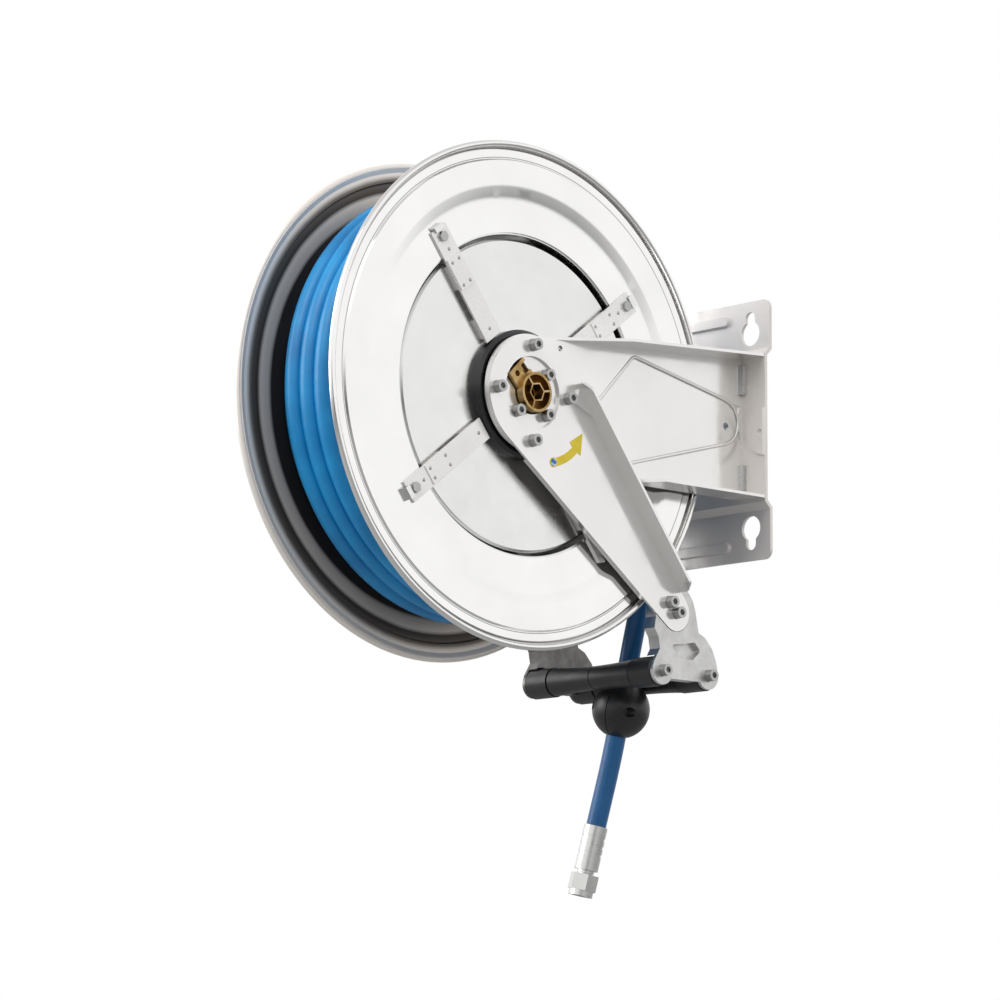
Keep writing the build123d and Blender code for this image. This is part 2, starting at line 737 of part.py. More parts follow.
def strap_clips():
    """Folded clip at the outer end of each strap."""
    face = DRUM_X + DISC_FLAT
    with BuildPart() as clips:
        for angle in STRAP_ANGLES:
            with BuildSketch(side_plane(face)):
                with Locations(Location(polar(STRAP_END_R + 1.3, angle) + (0,), angle)):
                    Rectangle(1.6, CLIP_W)
            extrude(amount=3.8)
            with BuildSketch(side_plane(face + 2.8)):
                with Locations(Location(polar(STRAP_END_R - 1, angle) + (0,), angle)):
                    Rectangle(3.2, CLIP_W)
            extrude(amount=1)
    save(clips, "strap_clips")


# ---------------------------------------------------------------- spring side
def arbor():
    """Fixed far-side shaft that the drum turns on and the spring pulls against."""
    with BuildPart() as shaft:
        with BuildSketch(side_plane(at_side(-1, ARM_IN))):
            Circle(48.5)
            with Locations(*outer_screw_points(), *inner_screw_points()):
                Circle(SCREW_R + CLEAR, mode=Mode.SUBTRACT)
        extrude(amount=2.4)
        with BuildSketch(side_plane(at_side(-1, BRACKET_OUT))):
            Circle(12)
        extrude(amount=58)
        with BuildSketch(side_plane(SPRING_X)):
            with Locations((0, 11)):
                Rectangle(1.6, 4)
        extrude(amount=SPRING_W, mode=Mode.SUBTRACT)
    save(shaft, "spring_arbor")


def spring_case():
    """Round housing for the rewind spring, with four tabs on the far disc."""
    open_x = DRUM_X - COVER_OUT
    with BuildPart() as case:
        with BuildSketch(axle_plane()):
            with BuildLine():
                Polyline((open_x, CASE_R), (CASE_END_X + 6, CASE_R), (CASE_END_X, CASE_R - 6),
                         (CASE_END_X, 20), (CASE_END_X + 1.5, 20), (CASE_END_X + 1.5, CASE_R - 6.6),
                         (CASE_END_X + 6.6, CASE_R - 1.5), (open_x, CASE_R - 1.5), close=True)
            make_face()
        revolve(axis=HUB_AXIS)
        tab_face = DRUM_X - DISC_FLAT
        for angle in STRAP_ANGLES:
            with BuildSketch(side_plane(tab_face)):
                with Locations(Location(polar(142.5, angle) + (0,), angle)):
                    Rectangle(31, STRAP_W)
                with Locations(polar(STRAP_BOLT_R, angle)):
                    Circle(2.6, mode=Mode.SUBTRACT)
            extrude(amount=-2)
    save(case, "spring_case")


def case_bolts():
    """Bolts that hold the spring housing to the far disc."""
    face = DRUM_X - DISC_FLAT - 2
    with BuildPart() as bolts:
        for angle in STRAP_ANGLES:
            with BuildSketch(side_plane(face)):
                with Locations(polar(STRAP_BOLT_R, angle)):
                    Circle(2.5)
            extrude(amount=3.1)
            with BuildSketch(side_plane(face)):
                with Locations(polar(STRAP_BOLT_R, angle)):
                    RegularPolygon(4.6, 6, rotation=angle)
            extrude(amount=-3)
    save(bolts, "case_bolts")


def mainspring():
    """Spiral strip spring between the arbor and the housing."""
    turns = 9
    steps = 16
    r_start = 14.0
    r_end = CASE_R - 5
    growth = (r_end - r_start) / (turns * steps)
    inner = [polar(r_start + growth * i, 360 * i / steps) for i in range(turns * steps + 1)]
    outer = [polar(r_start + 1.2 + growth * i, 360 * i / steps) for i in range(turns * steps + 1)]
    with BuildPart() as spring:
        with BuildSketch(side_plane(SPRING_X)):
            with BuildLine():
                Spline(*inner)
                Line(inner[-1], outer[-1])
                Spline(*outer[::-1])
                Line(outer[0], inner[0])
            make_face()
        extrude(amount=SPRING_W)
    save(spring, "mainspring")


def hub_far():
    """Far hub of the drum: a sleeve round the bearing and a flange on the cover."""
    inner_face = DRUM_X - COVER_OUT + COVER_T
    with BuildPart() as hub:
        with BuildSketch(axle_plane()):
            with BuildLine():
                Polyline((inner_face, 18), (inner_face, 46), (inner_face + 3, 46),
                         (inner_face + 3, 24), (inner_face + 19, 24), (inner_face + 19, 18), close=True)
            make_face()
        revolve(axis=HUB_AXIS)
    save(hub, "hub_far")


def ratchet():
    """Toothed wheel on the end of the spring housing."""
    pitch = 360 / RATCHET_TEETH
    points = []
    for k in range(RATCHET_TEETH):
        points.append(polar(RATCHET_R, k * pitch))
        points.append(polar(RATCHET_R - 7, k * pitch + 2))
        points.append(polar(RATCHET_R - 6, k * pitch + pitch * 0.45))
    with BuildPart() as wheel:
        with BuildSketch(side_plane(CASE_END_X)):
            with BuildLine():
                Polyline(*points, close=True)
            make_face()
            Circle(20, mode=Mode.SUBTRACT)
            with Locations(*[polar(38, a) for a in (45, 135, 225, 315)]):
                Circle(2.1, mode=Mode.SUBTRACT)
        extrude(amount=-3)
    save(wheel, "ratchet_wheel")


def pawl():
    """Latch finger that drops into the ratchet, and its boss round the pin."""
    y, z = PAWL_PIVOT
    with BuildPart() as finger:
        with BuildSketch(side_plane(CASE_END_X - 0.6)):
            with Locations((y, z)):
                Circle(7)
            with BuildLine():
                Polyline((y - 2, z + 6.6), (y - 42, z + 21), (y - 45, z + 14), (y - 36, z + 8.5),
                         (y - 1, z - 6.8), close=True)
            make_face()
            with Locations((y, z)):
                Circle(3 + CLEAR, mode=Mode.SUBTRACT)
        extrude(amount=-3)
    save(finger, "pawl")


def pawl_pin():
    """Shouldered pin that carries the pawl on the far bracket."""
    y, z = PAWL_PIVOT
    with BuildPart() as pin:
        with BuildSketch(side_plane(at_side(-1, PANEL_IN))):
            with Locations((y, z)):
                Circle(3)
        extrude(amount=6)
        with BuildSketch(side_plane(at_side(-1, PANEL_IN))):
            with Locations((y, z)):
                Circle(5)
        extrude(amount=2.6)
    save(pin, "pawl_pin")


def pawl_spring():
    """Leaf spring over the pawl, riveted to the far bracket by its foot."""
    y, z = PAWL_PIVOT
    with BuildPart() as leaf:
        with BuildSketch(side_plane(at_side(-1, PANEL_IN))):
            with BuildLine():
                Polyline((y + 14, z + 20), (y - 26, z + 24), (y - 26, z + 25), (y + 14, z + 21), close=True)
            make_face()
        extrude(amount=5)
        with BuildSketch(side_plane(at_side(-1, PANEL_IN))):
            with Locations((y + 10, z + 20.5)):
                Rectangle(12, 8)
        extrude(amount=1.5)
    save(leaf, "pawl_spring")


# ---------------------------------------------------------------- hose
def hose_winding():
    """Wound hose as one ring: two layers and part of a third, one layer in the last lane."""
    left = FIRST_LANE_X - LANE_PITCH / 2 + 0.1
    split = LAST_LANE_X - LANE_PITCH / 2 - 0.9
    right = LAST_LANE_X + LANE_PITCH / 2 - 0.1
    third_left = FIRST_LANE_X + (THIRD_LAYER_LANES[0] - 0.5) * LANE_PITCH
    third_right = FIRST_LANE_X + (THIRD_LAYER_LANES[1] + 0.5) * LANE_PITCH
    with BuildPart() as winding:
        with BuildSketch(axle_plane()):
            with BuildLine():
                Polyline((left, DISC_INNER_R), (left, SECOND_LAYER_R + HOSE_R),
                         (third_left, SECOND_LAYER_R + HOSE_R), (third_left, THIRD_LAYER_R + HOSE_R),
                         (third_right, THIRD_LAYER_R + HOSE_R), (third_right, SECOND_LAYER_R + HOSE_R),
                         (split, SECOND_LAYER_R + HOSE_R), (split, FIRST_LAYER_R + HOSE_R),
                         (right, FIRST_LAYER_R + HOSE_R), (right, DISC_INNER_R), close=True)
            make_face()
        revolve(axis=HUB_AXIS)
    save(winding, "hose_winding")


def route_point(index):
    """Point of the free hose in the part's own frame."""
    x, y, z = HOSE_ROUTE[index]
    return Vector(x, HUB_Y + y, z)


def route_radii():
    """Largest tangent arc at each inner point of the free hose."""
    points = [route_point(i) for i in range(len(HOSE_ROUTE))]
    radii = []
    for before, here, after in zip(points, points[1:], points[2:]):
        run_in = here - before
        run_out = after - here
        turn = radians(run_in.get_angle(run_out))
        radii.append(0.45 * min(run_in.length, run_out.length) / tan(turn / 2))
    return radii


def hose_end_plane(along):
    """Plane across the end of the hose, a distance past its last point."""
    last = route_point(len(HOSE_ROUTE) - 1)
    direction = (last - route_point(len(HOSE_ROUTE) - 2)).normalized()
    return Plane(origin=last + direction * along, x_dir=(0, 1, 0), z_dir=direction)


def hose_free():
    """Hose from the drum through the rollers to the ferrule."""
    points = [route_point(i) for i in range(len(HOSE_ROUTE))]
    radii = route_radii()
    print("free hose radii", [round(r) for r in radii])
    with BuildPart() as hose:
        with BuildLine() as path:
            route = FilletPolyline(*points, radius=radii)
        length = route.length
        with BuildSketch(Plane(origin=points[0], z_dir=route % 0)):
            Circle(HOSE_R)
        sweep()
        bore = hose_end_plane(0)
        with BuildSketch(bore):
            Circle(4.75)
        extrude(amount=-FERRULE_BACK, mode=Mode.SUBTRACT)
    section = pi * HOSE_R ** 2
    print("free hose length", round(length, 1), "volume ratio",
          round((hose.part.volume + pi * 4.75 ** 2 * FERRULE_BACK) / (section * length), 4))
    save(hose, "hose_free")


def ball_plane():
    """Plane across the hose at the stop ball, split plane along its x."""
    before = route_point(BALL_POINT - 1)
    here = route_point(BALL_POINT)
    after = route_point(BALL_POINT + 1)
    inward = ((before - here).normalized() + (after - here).normalized()).normalized()
    half_turn = radians((here - before).get_angle(after - here)) / 2
    cut = route_radii()[BALL_POINT - 1] * (1 / cos(half_turn) - 1)
    return Plane(origin=here + inward * cut, x_dir=(0.26, -0.97, 0), z_dir=after - before)


def stop_ball():
    """Two half balls clamped on the hose, and their screws."""
    plane = ball_plane()
    for half, name in ((1, "stop_ball_half_near"), (-1, "stop_ball_half_far")):
        with BuildPart() as piece:
            with Locations(plane.location):
                Sphere(BALL_R)
            with BuildSketch(plane.offset(-BALL_R - 1)):
                Circle(BALL_BORE_R)
            extrude(amount=2 * BALL_R + 2, mode=Mode.SUBTRACT)
            with BuildSketch(plane.offset(-BALL_R - 1)):
                with Locations((0, -half * (BALL_R - 0.35))):
                    Rectangle(2 * BALL_R + 4, 2 * BALL_R)
            extrude(amount=2 * BALL_R + 2, mode=Mode.SUBTRACT)
            for across in (16, -16):
                screw = Plane(origin=plane.from_local_coords((across, half * 40, 0)),
                              x_dir=plane.z_dir, z_dir=plane.y_dir * half)
                with BuildSketch(screw):
                    Circle(2.1)
                extrude(amount=-40, mode=Mode.SUBTRACT)
                with BuildSketch(screw.offset(-28)):
                    Circle(4.2)
                extrude(amount=20, mode=Mode.SUBTRACT)
        save(piece, name)
    with BuildPart() as screws:
        for across in (16, -16):
            screw = Plane(origin=plane.from_local_coords((across, 12, 0)),
                          x_dir=plane.z_dir, z_dir=plane.y_dir)
            with BuildSketch(screw):
                Circle(2)
            extrude(amount=-24)
            with BuildSketch(screw):
                Circle(3.6)
            extrude(amount=2.8)
            with BuildSketch(screw.offset(-24)):
                RegularPolygon(3.9, 6)
            extrude(amount=-2.8)
    save(screws, "stop_ball_screws")


def hose_fitting():
    """Crimped ferrule, barbed insert and swivel nut."""
    start = hose_end_plane(-FERRULE_BACK)
    with BuildPart() as ferrule:
        with BuildSketch(start):
            Circle(FERRULE_R)
        extrude(amount=FERRULE_BACK + FERRULE_FLOOR)
        with BuildSketch(start):
            Circle(HOSE_R + 0.1)
        extrude(amount=FERRULE_BACK, mode=Mode.SUBTRACT)
        with BuildSketch(start):
            Circle(6)
        extrude(amount=FERRULE_BACK + FERRULE_FLOOR, mode=Mode.SUBTRACT)
        for back in (9, 16, 23):
            with BuildSketch(start.offset(back)):
                Circle(FERRULE_R + 1)
                Circle(FERRULE_R - 0.5, mode=Mode.SUBTRACT)
            extrude(amount=3, mode=Mode.SUBTRACT)
    save(ferrule, "hose_ferrule")
    with BuildPart() as insert:
        with BuildSketch(hose_end_plane(-28)):
            Circle(4.6)
        extrude(amount=28)
        with BuildSketch(hose_end_plane(0)):
            Circle(6)
        extrude(amount=18)
        with BuildSketch(hose_end_plane(FERRULE_FLOOR)):
            Circle(7.4)
        extrude(amount=3)
        with BuildSketch(hose_end_plane(15)):
            Circle(7)
        extrude(amount=3.5)
        with BuildSketch(hose_end_plane(-28)):
            Circle(3.4)
        extrude(amount=48, mode=Mode.SUBTRACT)
    save(insert, "hose_insert")
    with BuildPart() as nut:
        with BuildSketch(hose_end_plane(10)):
            RegularPolygon(11, 6, major_radius=False)
        extrude(amount=14)
        with BuildSketch(hose_end_plane(24)):
            Circle(10.6)
        extrude(amount=5)
        with BuildSketch(hose_end_plane(10)):
            Circle(6 + 2 * CLEAR)
        extrude(amount=6, mode=Mode.SUBTRACT)
        with BuildSketch(hose_end_plane(14.6)):
            Circle(8)
        extrude(amount=4.4, mode=Mode.SUBTRACT)
        with BuildSketch(hose_end_plane(19)):
            Circle(7.5)
        extrude(amount=10, mode=Mode.SUBTRACT)
    save(nut, "hose_nut")


# ---------------------------------------------------------------- fasteners
def fasteners():
    """All socket cap screws of the frame, one node for each place."""
    near = [(GUIDE_OUT, *p, 1) for p in outer_screw_points()]
    far = [(at_side(-1, GUIDE_OUT), *p, -1) for p in outer_screw_points()]
    cap_screws("hub_screws_near", near, 7.4)
    cap_screws("hub_screws_far", far, 7.4)
    cap_screws("swivel_screws", [(BRACKET_OUT, *p, 1) for p in inner_screw_points()], 15)
    ends = [(at_side(side, GUIDE_OUT), *guide_point(s), side) for side in (1, -1) for s in ARM_SCREWS]
    cap_screws("arm_end_screws", ends, 12)
    bolts = [(at_side(side, CAST_OUT), y, ROLLER_Z, side) for side in (1, -1) for y in ROLLER_Y]
    cap_screws("roller_screws", bolts, 16)


def main():
    wall_plate()
    bracket(1, "bracket_near")
    bracket(-1, "bracket_far")
    weld_beads()
    guide_arm(1, "guide_arm_near")
    guide_arm(-1, "guide_arm_far")
    direction_label()
    roller_casting(1, "roller_casting_near")
    roller_casting(-1, "roller_casting_far")
    roller("roller_front", ROLLER_Y[0])
    roller("roller_rear", ROLLER_Y[1])
    roller_axles()
    trunnion()
    swivel_body()
    swivel_seals()
    hub_near()
    hub_collar()
    ring("bearing_near", 54, 70, 30 + CLEAR, 36)
    fluid_tube()
    disc("disc_near", 1)
    disc("disc_far", -1)
    drum_core()
    cover("cover_near", 1, 36)
    cover("cover_far", -1, 18)
    for number, angle in enumerate(STRAP_ANGLES, 1):
        strap(f"strap_{number}", angle)
    strap_bolts()
    strap_clips()
    arbor()
    spring_case()
    case_bolts()
    mainspring()
    hub_far()
    ring("bearing_far", DRUM_X - COVER_OUT + COVER_T + 1, DRUM_X - COVER_OUT + COVER_T + 18, 12 + CLEAR, 18)
    ratchet()
    pawl()
    pawl_pin()
    pawl_spring()
    hose_winding()
    hose_free()
    stop_ball()
    hose_fitting()
    fasteners()


main()
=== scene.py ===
"""Spring-rewind hose reel: looks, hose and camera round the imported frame."""
import json
import math

import bpy
from mathutils import Matrix, Vector


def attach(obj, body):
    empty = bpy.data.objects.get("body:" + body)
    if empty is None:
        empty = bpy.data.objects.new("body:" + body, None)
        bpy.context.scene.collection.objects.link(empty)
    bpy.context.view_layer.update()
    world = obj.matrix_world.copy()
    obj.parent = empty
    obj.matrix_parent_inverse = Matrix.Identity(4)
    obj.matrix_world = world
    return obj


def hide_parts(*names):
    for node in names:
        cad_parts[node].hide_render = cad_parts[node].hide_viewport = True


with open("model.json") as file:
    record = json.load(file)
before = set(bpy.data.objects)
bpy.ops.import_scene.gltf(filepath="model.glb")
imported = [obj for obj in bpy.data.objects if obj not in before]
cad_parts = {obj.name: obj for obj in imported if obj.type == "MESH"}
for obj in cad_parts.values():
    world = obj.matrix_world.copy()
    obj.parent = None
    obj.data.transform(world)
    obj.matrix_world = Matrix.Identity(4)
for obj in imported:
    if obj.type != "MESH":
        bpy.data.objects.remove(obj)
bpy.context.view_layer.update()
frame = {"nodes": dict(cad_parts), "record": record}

NODES = frame["nodes"]
HUB_Y = -0.264
HOSE_R = 0.00875


# ------------------------------------------------------------------ camera
def set_camera():
    """The photograph's viewpoint: in front, to the right and a little below the axle."""
    azimuth = math.radians(46.982)
    elevation = math.radians(-9.032)
    roll = math.radians(0.326)
    back = Vector((math.sin(azimuth) * math.cos(elevation),
                   -math.cos(azimuth) * math.cos(elevation),
                   math.sin(elevation)))
    right = Vector((0, 0, 1)).cross(back).normalized()
    up = back.cross(right)
    rolled_right = right * math.cos(roll) + up * math.sin(roll)
    rolled_up = up * math.cos(roll) - right * math.sin(roll)
    turn = Matrix((rolled_right, rolled_up, back)).transposed()
    data = bpy.data.cameras.new("camera")
    data.sensor_width = 36.0
    data.lens = 150.58
    camera = bpy.data.objects.new("camera", data)
    camera.matrix_world = Matrix.Translation((2.5811, -2.6233, -0.6359)) @ turn.to_4x4()
    bpy.context.collection.objects.link(camera)
    bpy.context.scene.camera = camera


# ------------------------------------------------------------------ shader helpers
class Nodes:
    """Small wrapper to build a material's node tree."""

    def __init__(self, name):
        self.material = bpy.data.materials.new(name)
        self.material.use_nodes = True
        self.tree = self.material.node_tree
        self.shader = self.tree.nodes["Principled BSDF"]
        self.coords = self.tree.nodes.new("ShaderNodeTexCoord").outputs["Object"]

    def add(self, kind, **settings):
        node = self.tree.nodes.new("ShaderNode" + kind)
        for key, value in settings.items():
            setattr(node, key, value)
        return node

    def link(self, source, target):
        self.tree.links.new(source, target)

    def mapped(self, scale=(1, 1, 1), location=(0, 0, 0)):
        node = self.add("Mapping")
        node.inputs["Scale"].default_value = scale
        node.inputs["Location"].default_value = location
        self.link(self.coords, node.inputs["Vector"])
        return node.outputs["Vector"]

    def noise(self, scale, detail=3.0, rough=0.55, vector=None):
        node = self.add("TexNoise")
        node.inputs["Scale"].default_value = scale
        node.inputs["Detail"].default_value = detail
        node.inputs["Roughness"].default_value = rough
        self.link(vector or self.coords, node.inputs["Vector"])
        return node.outputs["Fac"]

    def ramp(self, value, stops):
        node = self.add("ValToRGB")
        ramp = node.color_ramp
        while len(ramp.elements) < len(stops):
            ramp.elements.new(0.5)
        for element, (place, colour) in zip(ramp.elements, stops):
            element.position = place
            element.color = (*colour, 1) if len(colour) == 3 else colour
        self.link(value, node.inputs["Fac"])
        return node.outputs["Color"]

    def span(self, value, low, high, src_low=0.0, src_high=1.0):
        node = self.add("MapRange")
        node.inputs["From Min"].default_value = src_low
        node.inputs["From Max"].default_value = src_high
        node.inputs["To Min"].default_value = low
        node.inputs["To Max"].default_value = high
        self.link(value, node.inputs["Value"])
        return node.outputs["Result"]

    def math(self, operation, first, second):
        node = self.add("Math", operation=operation)
        for socket, value in zip(node.inputs, (first, second)):
            if isinstance(value, (int, float)):
                socket.default_value = value
            else:
                self.link(value, socket)
        return node.outputs["Value"]

    def bump(self, heights):
        """Chain of bumps, each (height socket, depth in metres, strength)."""
        normal = None
        for height, depth, strength in heights:
            node = self.add("Bump")
            node.inputs["Distance"].default_value = depth
            node.inputs["Strength"].default_value = strength
            self.link(height, node.inputs["Height"])
            if normal:
                self.link(normal, node.inputs["Normal"])
            normal = node.outputs["Normal"]
        self.link(normal, self.shader.inputs["Normal"])

    def radius(self):
        """Distance from the axle."""
        centred = self.mapped(location=(0, -HUB_Y, 0))
        split = self.add("SeparateXYZ")
        self.link(centred, split.inputs[0])
        square = self.math("ADD", self.math("POWER", split.outputs["Y"], 2.0),
                           self.math("POWER", split.outputs["Z"], 2.0))
        return self.math("SQRT", square, 0.0)


# Painted shade: thin dark lines on the near disc where its pressed grooves are, as (radius, half
# width); not in its mesh.
CREASE_SHADE_LINES = ((0.2005, 0.0006), (0.2081, 0.0008))
CREASE_SHADE_COLOUR = (0.06, 0.058, 0.055, 1)
SMUDGE_LOW, SMUDGE_HIGH = 0.3, 0.75        # the part of the noise that changes the gloss
GRAIN_SCALE = 2600                         # turning marks a fraction of a millimetre apart


def polished(name, colour, rough, waviness=0.5, turned=False, crease_shade=False, metallic=1.0):
    """Bright sheet metal: faint waviness, fine scratches, smudges in the gloss."""
    n = Nodes(name)
    n.shader.inputs["Metallic"].default_value = metallic
    tone = n.noise(14, 4)
    low = tuple(c * 0.93 for c in colour)
    base = n.ramp(tone, ((0.3, low), (0.7, colour)))
    # Painted shade: dark lines at the groove radii stand in for the shade in the pressed grooves.
    if crease_shade:
        for place, half in CREASE_SHADE_LINES:
            near = n.math("ABSOLUTE", n.math("SUBTRACT", n.radius(), place), 0.0)
            mix = n.add("Mix", data_type="RGBA")
            n.link(n.span(near, 0.85, 0.0, 0.0, half), mix.inputs["Factor"])
            n.link(base, mix.inputs["A"])
            mix.inputs["B"].default_value = CREASE_SHADE_COLOUR
            base = mix.outputs["Result"]
    n.link(base, n.shader.inputs["Base Color"])
    smudge = n.noise(38, 5, 0.65)
    n.link(n.span(smudge, rough * 0.7, rough * 1.5, SMUDGE_LOW, SMUDGE_HIGH),
           n.shader.inputs["Roughness"])
    heights = [(n.noise(9, 1), 0.0006, waviness)]
    if turned:
        rings = n.add("CombineXYZ")
        n.link(n.radius(), rings.inputs["X"])
        heights.append((n.noise(GRAIN_SCALE, 2, 0.5, rings.outputs[0]), 0.00002, 0.35))
    n.bump(heights)
    return n.material


def far_disc_metal():
    """Disc sheet with painted shade and painted reflections in rings on its side that faces the
    hose.
    """
    n = Nodes("far_disc_metal")
    n.shader.inputs["Metallic"].default_value = 0.4
    radius = n.radius()
    wobble = n.math("ADD", radius, n.span(n.noise(26, 4), -0.0004, 0.0004))
    # Painted shade and painted reflections: dark and bright rings by radius on the side facing the
    # hose.
    painted_shade_rings = n.ramp(n.span(wobble, 0.0, 1.0, 0.165, 0.215), (
        (0.0, (0.018, 0.014, 0.011)), (0.24, (0.025, 0.019, 0.015)), (0.31, (0.66, 0.57, 0.49)),
        (0.47, (0.76, 0.67, 0.58)), (0.54, (0.05, 0.038, 0.03)), (0.72, (0.18, 0.145, 0.115)),
        (0.80, (0.90, 0.81, 0.72)), (1.0, (0.98, 0.91, 0.84))))
    facing = n.add("SeparateXYZ")
    n.link(n.add("TexCoord").outputs["Normal"], facing.inputs[0])
    side = n.span(facing.outputs["X"], 0.0, 1.0, -0.1, 0.1)
    mix = n.add("Mix", data_type="RGBA")
    n.link(side, mix.inputs["Factor"])
    mix.inputs["A"].default_value = (0.84, 0.84, 0.83, 1)
    n.link(painted_shade_rings, mix.inputs["B"])
    n.link(mix.outputs["Result"], n.shader.inputs["Base Color"])
    n.link(n.span(n.noise(38, 3, 0.5), 0.36, 0.44, SMUDGE_LOW, SMUDGE_HIGH),
           n.shader.inputs["Roughness"])
    rings = n.add("CombineXYZ")
    n.link(radius, rings.inputs["X"])
    n.bump([(n.noise(9, 1), 0.0006, 0.3),
            (n.noise(GRAIN_SCALE, 2, 0.5, rings.outputs[0]), 0.00002, 0.35)])
    return n.material


def cast_metal(name, low, high):
    """Blasted cast aluminium: fine grain, softer edges of tone."""
    n = Nodes(name)
    n.shader.inputs["Metallic"].default_value = 1.0
    n.link(n.ramp(n.noise(60, 6), ((0.25, low), (0.75, high))),
           n.shader.inputs["Base Color"])
    n.link(n.span(n.noise(200, 4), 0.28, 0.5), n.shader.inputs["Roughness"])
    n.bump([(n.noise(1400, 3), 0.00012, 0.35), (n.noise(90, 2), 0.0004, 0.2)])
    return n.material


def brass():
    """Machined brass, a little tarnished in random patches."""
    n = Nodes("brass")
    n.shader.inputs["Metallic"].default_value = 1.0
    n.link(n.ramp(n.noise(90, 5), ((0.3, (0.27, 0.16, 0.05)), (0.66, (0.58, 0.41, 0.19)))),
           n.shader.inputs["Base Color"])
    n.link(n.span(n.noise(240, 4), 0.22, 0.42), n.shader.inputs["Roughness"])
    n.bump([(n.noise(900, 2), 0.00006, 0.3)])
    return n.material


def plastic(name, dark, light, rough, grain):
    """Black moulding with a fine grain."""
    n = Nodes(name)
    n.link(n.ramp(n.noise(45, 4), ((0.3, dark), (0.75, light))), n.shader.inputs["Base Color"])
    n.link(n.span(n.noise(120, 4), rough - 0.08, rough + 0.1), n.shader.inputs["Roughness"])
    n.bump([(n.noise(2200, 2), 0.00008, grain), (n.noise(60, 2), 0.0003, 0.15)])
    return n.material


def hose_skin(name, low, high):
    """Blue extruded hose cover: satin, slightly uneven in colour."""
    n = Nodes(name)
    n.link(n.ramp(n.noise(22, 4), ((0.3, low), (0.72, high))), n.shader.inputs["Base Color"])
    n.link(n.span(n.noise(150, 4), 0.3, 0.46), n.shader.inputs["Roughness"])
    n.shader.inputs["Specular IOR Level"].default_value = 0.5
    n.bump([(n.noise(1600, 2), 0.00006, 0.25), (n.noise(70, 2), 0.0005, 0.12)])
    return n.material


def label_film():
    """Plain yellow film, a little uneven in tone."""
    n = Nodes("label_yellow")
    n.link(n.ramp(n.noise(120, 3), ((0.3, (0.80, 0.60, 0.01)), (0.7, (0.88, 0.70, 0.03)))),
           n.shader.inputs["Base Color"])
    n.link(n.span(n.noise(200, 3), 0.28, 0.4), n.shader.inputs["Roughness"])
    n.bump([(n.noise(700, 2), 0.00003, 0.2)])
    return n.material


MATERIALS = {
    "stainless_polished": polished("stainless_polished", (0.86, 0.86, 0.85), 0.13),
    "stainless_satin": polished("stainless_satin", (0.80, 0.80, 0.79), 0.2, 0.35),
    "cast_aluminium": cast_metal("cast_aluminium", (0.52, 0.515, 0.51), (0.74, 0.735, 0.725)),
    "brass": brass(),
    "black_plastic": plastic("black_plastic", (0.012, 0.012, 0.013), (0.026, 0.026, 0.027),
                             0.42, 0.3),
    "black_rubber": plastic("black_rubber", (0.010, 0.010, 0.011), (0.022, 0.022, 0.023),
                            0.36, 0.2),
    "hose_blue": hose_skin("hose_blue", (0.000, 0.19, 0.47), (0.004, 0.30, 0.66)),
    "zinc_steel": polished("zinc_steel", (0.72, 0.72, 0.70), 0.26, 0.3),
    "fastener_steel": polished("fastener_steel", (0.46, 0.46, 0.455), 0.28, 0.3),
    "spring_steel": polished("spring_steel", (0.42, 0.42, 0.43), 0.32, 0.3),
    "label_yellow": label_film(),
}
# Painted shade: a darker copy of the hose blue for the hanging length, which is the same hose as
# on the drum.
SHADED_HANGING_HOSE = hose_skin("hose_hanging_painted_shade", (0.000, 0.085, 0.25), (0.002, 0.125, 0.34))
DISC_METAL = polished("disc_metal", (0.90, 0.893, 0.88), 0.12, 0.3, turned=True, crease_shade=True)
FAR_DISC_METAL = far_disc_metal()
# Painted shade: a darker copy of the cast aluminium, used for the far casting.
SHADED_FAR_CAST = cast_metal("cast_aluminium_painted_shade", (0.09, 0.086, 0.082), (0.24, 0.232, 0.225))
PLATE_METAL = polished("plate_metal", (0.83, 0.79, 0.755), 0.42, 0.4, metallic=0.3)
GLOSS_BLACK = plastic("gloss_black", (0.010, 0.010, 0.011), (0.020, 0.020, 0.021), 0.24, 0.1)
SHEET_METAL = polished("sheet_metal", (0.89, 0.878, 0.862), 0.17, 0.5, metallic=0.7)
STRAP_METAL = polished("strap_metal", (0.90, 0.888, 0.872), 0.25, 0.4, metallic=0.45)


SPECIAL = {
    "disc_near": DISC_METAL,
    "disc_far": FAR_DISC_METAL,
    "hub_collar": GLOSS_BLACK,
    "wall_plate": PLATE_METAL,
    # The far casting takes the painted-shade copy of the cast aluminium.
    "roller_casting_far": SHADED_FAR_CAST,
    "strap_1": STRAP_METAL, "strap_2": STRAP_METAL, "strap_3": STRAP_METAL, "strap_4": STRAP_METAL,
}


def paint_nodes():
    """Give every CAD node the finish of its slot, or its own where it has one."""
    for row in frame["record"]["subparts"]:
        material = SPECIAL.get(row["node"], MATERIALS[row["material_slot"]])
        if row["node"].startswith(("bracket_", "guide_arm_")):
            material = SHEET_METAL
        for slot in NODES[row["node"]].material_slots:
            slot.material = material


# ------------------------------------------------------------------ hose
HOSE_ROUTE = (            # x, y from the axle, z of the hanging hose, from the drum down
    (0.0677, 0.1647, 0.0135),
    (0.0676, 0.1683, -0.030),
    (0.0635, 0.1719, -0.075),
    (0.0530, 0.1754, -0.118),
    (0.0380, 0.1789, -0.160),
    (0.0230, 0.1823, -0.201),
    (0.0110, 0.1840, -0.245),
    (0.0025, 0.1805, -0.290),
    (-0.0052, 0.1730, -0.336),
    (-0.0120, 0.1663, -0.378),
)
LANES = 6
LANE_PITCH = 0.0182
FIRST_LANE_X = -0.0233
LAYER_R = (0.14725, 0.1624, 0.17755)      # closer than a hose's width: layers bed together
THIRD_LAYER_LANES = (1, 2, 3)
POINTS_PER_TURN = 24
CROSSOVER = 0.16          # share of a turn in which the hose moves to the next lane
LAST_CROSSOVER = 0.42     # the same, where it leaves the third layer for the exit lane


